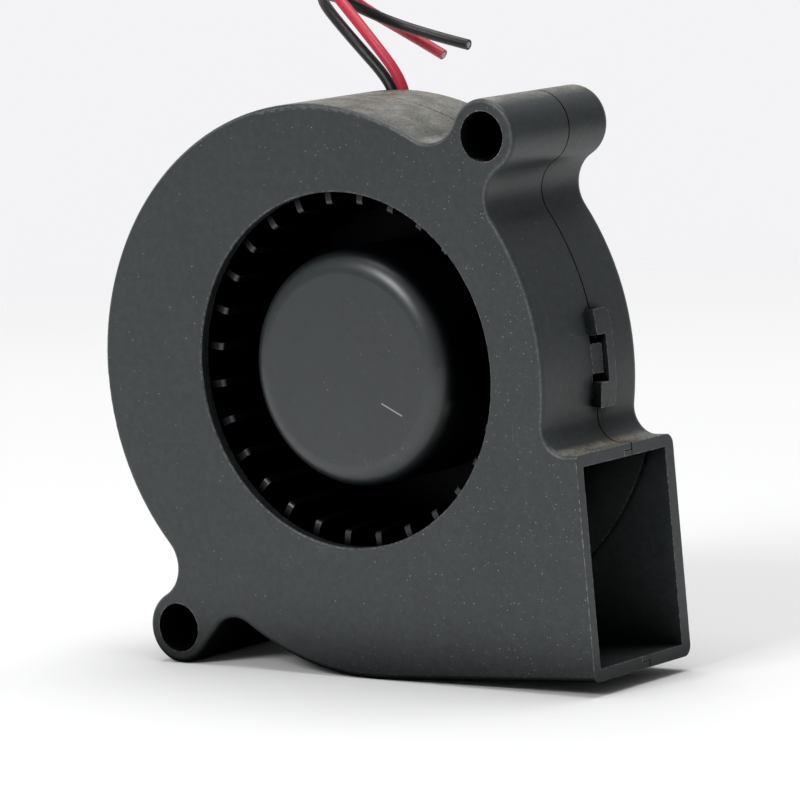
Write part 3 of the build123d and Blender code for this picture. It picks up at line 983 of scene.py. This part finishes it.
@dataclass(frozen=True)
class FreeLead:
    """One of the two leads, from the housing's channel over its arch to its bare end.

    Its sizes are in millimetres, except the length, which is in metres. The exit, the depth and
    the channel's mouth are places on the housing, and the arch's points are measured from the
    mouth along the frame's axes. A strand's dome is given in shares of its radius and of how far
    it shows.
    """

    name: str
    exit_across: float
    arch: tuple[Vector, ...]
    length: float
    exit_up: float = 23.0
    depth: float = 14.35
    mouth_across: float = -1.81
    diameter: float = 1.0
    strand_diameter: float = 0.2
    strand_show: float = 0.04
    strand_sides: int = 10
    outer_strands: int = 6
    radii_inside: float = 4.0
    dome: tuple[Span, ...] = ((1.0, 0.4), (0.7, 0.85), (0.02, 1.0))

    def route(self, lean: Lean) -> np.ndarray:
        """Works out the lead's route.

        Args:
            lean: Where the housing's channel is.

        Returns:
            The spline's control points in metres, from the exit to the bare end.
        """
        start = lean.place(self.exit_across, self.exit_up, self.depth)
        mouth = lean.place(self.mouth_across, self.exit_up, self.depth)
        return np.concatenate([start[None, :], mouth + np.array(self.arch) * MM])

    def build(self, lean: Lean, material: bpy.types.Material) -> bpy.types.Object:
        """Makes the lead as one open spline of order three.

        Args:
            lean: Where the housing's channel is.
            material: The insulation.

        Returns:
            The curve object, with its thickness as the spline's bevel.
        """
        points = self.route(lean)
        curve = bpy.data.curves.new(self.name, "CURVE")
        curve.dimensions = "3D"
        spline = curve.splines.new("NURBS")
        spline.points.add(len(points) - 1)
        weighted = np.concatenate([points, np.ones((len(points), 1))], axis=1)
        spline.points.foreach_set("co", weighted.ravel())
        spline.order_u = 3
        spline.use_endpoint_u = True
        curve.resolution_u = 12
        curve.bevel_depth = self.diameter / 2 * MM
        curve.bevel_resolution = 5
        curve.use_fill_caps = True
        curve.materials.append(material)
        made = bpy.data.objects.new(self.name, curve)
        bpy.context.scene.collection.objects.link(made)
        return made

    def build_strands(self, lean: Lean, material: bpy.types.Material) -> bpy.types.Object:
        """Makes the cut ends of the conductor's strands, one in the middle and the rest round it.

        Args:
            lean: Where the housing's channel is.
            material: The strands' metal.

        Returns:
            The mesh object. Each strand is a short rod along the route's last run, from inside
            the insulation to just past its cut face, with a domed end: a profile of radius and
            reach, carried round the strand's own axis.
        """
        points = self.route(lean)
        along = points[-1] - points[-2]
        along /= np.linalg.norm(along)
        side = np.cross(along, (0.0, 0.0, 1.0))
        side /= np.linalg.norm(side)
        up = np.cross(side, along)
        radius = self.strand_diameter / 2 * MM
        show = self.strand_show * MM
        domed = np.array(self.dome) * (radius, show)
        profile = np.concatenate([[[radius, -self.radii_inside * radius]], domed])
        turned = np.linspace(0.0, 2.0 * math.pi, self.strand_sides, endpoint=False)
        spread = np.linspace(0.0, 2.0 * math.pi, self.outer_strands, endpoint=False)
        rim = np.cos(turned)[:, None] * side + np.sin(turned)[:, None] * up
        beside = np.cos(spread)[:, None] * side + np.sin(spread)[:, None] * up
        rings = profile[:, 0, None, None] * rim + profile[:, 1, None, None] * along
        middles = points[-1] + np.concatenate([np.zeros((1, 3)), beside * 2.0 * radius])
        made = ring_mesh(f"{self.name}_strands", middles[:, None, None, :] + rings)
        made.data.materials.append(material)
        return made


BLACK_LEAD = FreeLead(
    name="black_flex",
    exit_across=-2.4,
    arch=(
        (-0.75, 0.1, 1.0),
        (-5.5, 0.3, 5.3),
        (-10.6, 2.9, 8.4),
        (-13.6, 8.4, 8.5),
        (-11.0, 13.3, 5.6),
        (-5.55, 14.4, 3.92),
        (-2.44, 14.4, 3.3),
    ),
    length=0.034,
)

RED_LEAD = FreeLead(
    name="red_flex",
    exit_across=-1.22,
    arch=(
        (0.5, -0.15, 1.4),
        (-2.8, -0.1, 5.1),
        (-9.8, 2.3, 10.4),
        (-15.6, 8.2, 11.2),
        (-15.5, 14.6, 7.2),
        (-9.79, 16.35, 3.75),
        (-6.69, 16.35, 2.19),
    ),
    length=0.040,
)


# Stage


def upright(back: np.ndarray) -> np.ndarray:
    """The axes of a lamp that looks against a direction and stands level.

    Args:
        back: The direction from what it faces to the lamp.

    Returns:
        Its x, y and z as columns, by cross products with the frame's Z.
    """
    back = back / np.linalg.norm(back)
    side = np.cross((0.0, 0.0, 1.0), back)
    side /= np.linalg.norm(side)
    return np.stack([side, np.cross(back, side), back], axis=1)


def hang(name: str, data: bpy.types.ID, place: Vector, turn: np.ndarray) -> bpy.types.Object:
    """Puts a camera or a lamp in the scene.

    Args:
        name: The object's name.
        data: The camera or lamp.
        place: Where it is, in metres.
        turn: Its axes as columns.

    Returns:
        The new object.
    """
    made = bpy.data.objects.new(name, data)
    made.matrix_world = Matrix.Translation(place) @ Matrix(turn.tolist()).to_4x4()
    bpy.context.scene.collection.objects.link(made)
    return made


@dataclass(frozen=True)
class SoftLamp:
    """A square soft lamp: its place and side in metres, its power in watts, and its aim."""

    name: str
    place: Vector
    size: float
    power: float
    aim: Vector = (0.0, 0.0, 0.02)

    def build(self) -> None:
        """Makes the lamp, facing its aim."""
        data = bpy.data.lights.new(self.name, "AREA")
        data.size = self.size
        data.energy = self.power
        hang(self.name, data, self.place, upright(np.array(self.place) - np.array(self.aim)))


@dataclass(frozen=True)
class Surroundings:
    """The pale backdrop, and a dimmer light that comes mostly from the front.

    The light's level swings about its middle from one side to the other. Gloss mirrors the
    backdrop only behind the object, and clear things show it all round.
    """

    colour: Vector = (243, 243, 245)
    level: float = 0.23
    swing: float = 0.15
    brightest_way: Vector = (-0.1, -0.85, 0.5)
    backdrop_way: Vector = (-0.587, 0.803, -0.1)
    backdrop_span: Span = (0.4, 0.9)

    def build(self) -> None:
        """Makes the world: the backdrop where it is seen or mirrored, and the light elsewhere."""
        world = bpy.data.worlds.new("surroundings")
        bpy.context.scene.world = world
        world.use_nodes = True
        sky = NodeTree(world.node_tree)
        sky.tree.nodes.clear()
        shown, lighting = sky.node("ShaderNodeBackground"), sky.node("ShaderNodeBackground")
        for background in (shown, lighting):
            background.inputs["Color"].default_value = linear(*self.colour)
        direction = sky.node("ShaderNodeTexCoord").outputs["Generated"]
        front = sky.vector("DOT_PRODUCT", direction, self.brightest_way)
        level = sky.carry(front, (-1.0, 1.0), (self.level - self.swing, self.level + self.swing))
        sky.link(level, lighting.inputs["Strength"])
        behind = sky.vector("DOT_PRODUCT", direction, self.backdrop_way)
        backdrop = sky.carry(behind, self.backdrop_span, (0.0, 1.0))
        path = sky.node("ShaderNodeLightPath").outputs
        clear = sky.math("MAXIMUM", path["Is Camera Ray"], path["Is Transmission Ray"])
        mirrored = sky.product(path["Is Glossy Ray"], backdrop)
        mix = sky.node("ShaderNodeMixShader")
        sky.link(sky.math("MAXIMUM", clear, mirrored), mix.inputs[0])
        sky.link(lighting.outputs[0], mix.inputs[1])
        sky.link(shown.outputs[0], mix.inputs[2])
        sky.link(mix.outputs[0], sky.node("ShaderNodeOutputWorld").inputs[0])


@dataclass(frozen=True)
class PaleFloor:
    """The floor, a disc that fades into the surroundings some way from the object."""

    rings: tuple[float, ...] = (0.002, 0.1, 0.2, 0.3, 0.4)
    sides: int = 96
    colour: Vector = (252, 252, 252)
    roughness: float = 0.8
    fade: Span = (0.24, 0.36)

    def paper(self) -> bpy.types.Material:
        """Makes the floor's material.

        Returns:
            The material. It is solid up to the fade's start and clear from its end.
        """
        material = Material("floor paper")
        material.set(Roughness=self.roughness, Base_Color=linear(*self.colour))
        far = material.vector("LENGTH", material.position)
        material.feed("Alpha", material.carry(far, self.fade, (1.0, 0.0), "SMOOTHSTEP"))
        return material.made

    def build(self) -> None:
        """Makes the floor, a grid of its rings by equal angles round the middle."""
        angle = np.linspace(0.0, 2.0 * math.pi, self.sides, endpoint=False)
        spread, turned = np.meshgrid(np.array(self.rings), angle, indexing="ij")
        points = [spread * np.cos(turned), spread * np.sin(turned), np.zeros_like(spread)]
        floor = ring_mesh("floor", np.stack(points, axis=-1)[None], smooth=False)
        floor.data.materials.append(self.paper())


@dataclass(frozen=True)
class StudioCamera:
    """The camera: its place in metres, its right and down, and its focal length in pixels."""

    place: Vector = (0.3063, -0.4159, 0.0911)
    right: Vector = (0.8088, 0.5864, -0.0432)
    down: Vector = (0.0413, -0.1301, -0.9907)
    focal_pixels: float = 5879.9
    image_pixels: float = 800.0
    sensor_width: float = 36.0
    clip: Span = (0.01, 10.0)

    def build(self) -> None:
        """Makes the camera, with square axes from its right and down."""
        right = np.array(self.right)
        right /= np.linalg.norm(right)
        down = np.array(self.down)
        down -= right * down.dot(right)
        down /= np.linalg.norm(down)
        turn = np.stack([right, -down, np.cross(right, -down)], axis=1)
        data = bpy.data.cameras.new("camera")
        data.sensor_width = self.sensor_width
        data.lens = self.focal_pixels / self.image_pixels * self.sensor_width
        data.clip_start, data.clip_end = self.clip
        bpy.context.scene.camera = hang("camera", data, self.place, turn)


@dataclass(frozen=True)
class Studio:
    """The camera, the surroundings, the floor and the lamps."""

    camera: StudioCamera = StudioCamera()
    surroundings: Surroundings = Surroundings()
    floor: PaleFloor = PaleFloor()
    key: SoftLamp = SoftLamp("key", (-0.03, 0.1, 1.0), 0.75, 7.2)
    fill: SoftLamp = SoftLamp("fill", (-0.1, -0.78, 0.6), 0.3, 3.7)

    def build(self) -> None:
        """Builds the whole stage."""
        for part in (self.camera, self.surroundings, self.floor, self.key, self.fill):
            part.build()


# The blower


@dataclass
class Blower:
    """The dressed blower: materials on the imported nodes, and the pieces made here."""

    lean: Lean = LEAN
    effects: Effects = field(default_factory=Effects)
    materials: dict[str, bpy.types.Material] = field(default_factory=dict)

    def mix_materials(self) -> None:
        """Makes the material of each finish once, under the finish's short name."""
        for name, finish in FINISHES.items():
            self.materials[name] = finish.build(self.effects)

    def dress_node(self, node: str, material: bpy.types.Material) -> None:
        """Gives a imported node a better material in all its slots.

        Args:
            node: The node's name.
            material: Its material.
        """
        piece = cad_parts[node]
        if not piece.material_slots:
            piece.data.materials.append(material)
        for place in piece.material_slots:
            place.material = material
        log.info("dressed %s with %s", node, material.name)

    def dress_nodes(self) -> None:
        """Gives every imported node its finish."""
        for node, finish in DRESS.items():
            self.dress_node(node, self.materials[finish])

    def build_leads(self) -> None:
        """Makes the two free leads, each with its strands at the bare end."""
        for lead, finish, node, slot in (
            (BLACK_LEAD, "black", "black_lead", "lead_black"),
            (RED_LEAD, "red", "red_lead", "lead_red"),
        ):
            piece = lead.build(self.lean, self.materials[finish])
            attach(piece, Body.HOUSING.value)
            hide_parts(node)
            strands = lead.build_strands(self.lean, self.materials["tin"])
            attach(strands, Body.HOUSING.value)
            leaves = self.lean.place(lead.exit_across, lead.exit_up, lead.depth)
            log.info("made %s", lead.name)


def main() -> None:
    """Builds the stage and the blower."""
    logging.basicConfig(level=logging.INFO, format="%(message)s")
    bpy.context.scene.view_settings.view_transform = "Standard"
    Studio().build()
    blower = Blower()
    blower.mix_materials()
    blower.dress_nodes()
    blower.build_leads()
    bpy.context.view_layer.update()


if __name__ == "__main__":
    main()
